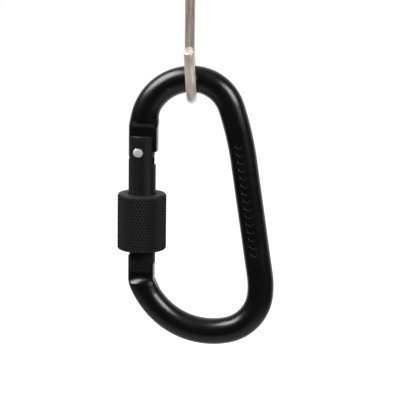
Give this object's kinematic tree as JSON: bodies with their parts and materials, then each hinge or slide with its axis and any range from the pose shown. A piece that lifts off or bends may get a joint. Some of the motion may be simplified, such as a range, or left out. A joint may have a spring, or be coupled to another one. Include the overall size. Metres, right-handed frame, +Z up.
{
  "type": "carabiner keyring",
  "caption": "D-shaped snap link bent from round bar, with a sprung gate, a knurled screw-lock sleeve and a wire hook through its crown.",
  "frame": {"origin": "centre of the eye at the top of the wire hook, which holds the whole thing up", "axes": "+Z up, along the hanging link; +X from the gate towards the spine; -Y is the front face, with the marks"},
  "size_m": [0.0451, 0.0147, 0.1133],
  "materials": {
    "bar_black": "glossy black coating over bent aluminium bar",
    "gate_black": "matt black anodised turned rod",
    "sleeve_black": "matt black anodised, diamond knurled",
    "rivet_steel": "bright bare steel, domed heads",
    "spring_steel": "drawn spring wire",
    "plunger_brass": "turned, plain",
    "ring_rubber": "smooth black rubber",
    "hook_nickel": "nickel plated wire, drawn and slightly dulled"
  },
  "bodies": {
    "hook": {"hook": "hook_nickel"},
    "frame": {"frame": "bar_black"},
    "gate": {"gate": "gate_black", "hinge_rivet": "rivet_steel", "gate_spring": "spring_steel"},
    "plunger": {"spring_plunger": "plunger_brass"},
    "ring": {"friction_ring": "ring_rubber"},
    "sleeve": {"lock_sleeve": "sleeve_black"}
  },
  "joints": [
    {"name": "link_swing", "type": "hinge", "parent": "hook", "child": "frame", "pos_m": [0, 0, -0.03], "axis": [1, 0, 0], "range_deg": [-90, 90]},
    {"name": "gate_swing", "type": "hinge", "parent": "frame", "child": "gate", "pos_m": [-0.0136, 0, -0.0509], "axis": [0, -1, 0], "range_deg": [0, 28], "stiffness_Nm_per_rad": 0.04, "springref_deg": -28.65},
    {"name": "plunger_slide", "type": "slide", "parent": "gate", "child": "plunger", "axis": [0, 0, -1], "range_m": [0, 0.0012], "deforming": ["gate_spring"]},
    {"name": "ring_slide", "type": "slide", "parent": "gate", "child": "ring", "axis": [0, 0, -1], "range_m": [0, 0.0085]},
    {"name": "sleeve_turn", "type": "hinge", "parent": "ring", "child": "sleeve", "pos_m": [-0.013, 0, -0.071], "axis": [0, 0, -1], "range_deg": [0, 2448]}
  ],
  "couplings": [
    {"joint": "plunger_slide", "follows": "gate_swing", "m_per_rad": 0.0024},
    {"joint": "sleeve_turn", "follows": "ring_slide", "rad_per_m": 5026.5}
  ]
}
